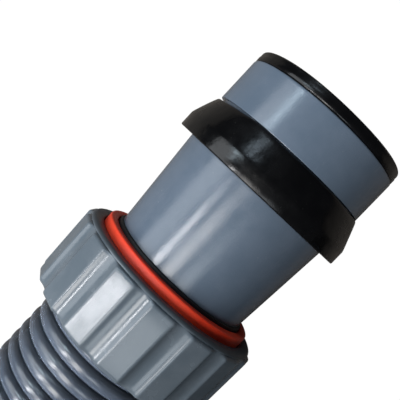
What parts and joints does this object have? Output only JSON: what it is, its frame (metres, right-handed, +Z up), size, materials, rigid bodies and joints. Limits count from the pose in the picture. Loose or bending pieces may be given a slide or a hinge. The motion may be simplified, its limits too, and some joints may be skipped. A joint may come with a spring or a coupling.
{
  "type": "pool vacuum hose",
  "caption": "Corrugated pool vacuum hose with a swivelling threaded union, a tapered plug-in spigot with a wedge seal, and a swivel cuff at the far end of the coil.",
  "frame": {"origin": "on the floor below the middle of the connector (union nut to spigot mouth)", "axes": "+X along the connector's axis toward the spigot's mouth, +Z up"},
  "size_m": [0.6475, 0.5936, 0.0949],
  "materials": {
    "hose_plastic": "glossy dark grey flexible plastic",
    "nut_plastic": "satin blue-grey rigid plastic",
    "spigot_plastic": "smooth blue-grey rigid plastic",
    "ring_plastic": "semi-gloss orange-red plastic",
    "coupler_plastic": "dark grey rigid plastic",
    "seal_rubber": "black moulded rubber",
    "washer_plastic": "natural low-friction plastic",
    "cuff_plastic": "soft black plastic",
    "strap_fabric": "woven hook-and-loop strap"
  },
  "bodies": {
    "hose": {"hose_coupler": "coupler_plastic", "union_gasket": "seal_rubber", "hose_end_seal": "seal_rubber", "hose": "hose_plastic", "hose_coil": "hose_plastic", "hose_tail": "hose_plastic", "coil_strap_1": "strap_fabric", "coil_strap_2": "strap_fabric", "coil_strap_3": "strap_fabric", "cuff_ferrule": "coupler_plastic", "cuff_washer": "washer_plastic", "cuff_snap_ring": "washer_plastic", "cuff_o_ring": "seal_rubber"},
    "spigot": {"spigot": "spigot_plastic", "port_seal": "seal_rubber", "mouth_lip": "seal_rubber", "nose_o_ring": "seal_rubber"},
    "bearing_ring": {"bearing_ring": "ring_plastic"},
    "union_nut": {"union_nut": "nut_plastic"},
    "swivel_cuff": {"swivel_cuff": "cuff_plastic"}
  },
  "joints": [
    {"name": "spigot_swivel", "type": "hinge", "parent": "hose", "child": "spigot", "pos_m": [0, 0, 0.03062], "axis": [1, 0, 0], "continuous": true},
    {"name": "nut_travel", "type": "slide", "parent": "hose", "child": "bearing_ring", "axis": [1, 0, 0], "range_m": [0, 0.00901]},
    {"name": "nut_turn", "type": "hinge", "parent": "bearing_ring", "child": "union_nut", "pos_m": [0, 0, 0.03062], "axis": [1, 0, 0], "range_deg": [0, 1080]},
    {"name": "cuff_swivel", "type": "hinge", "parent": "hose", "child": "swivel_cuff", "pos_m": [0.0337, -0.5353, 0.0275], "axis": [1, 0, 0], "continuous": true}
  ],
  "couplings": [
    {"joint": "nut_travel", "follows": "nut_turn", "m_per_rad": 0.00047746}
  ]
}
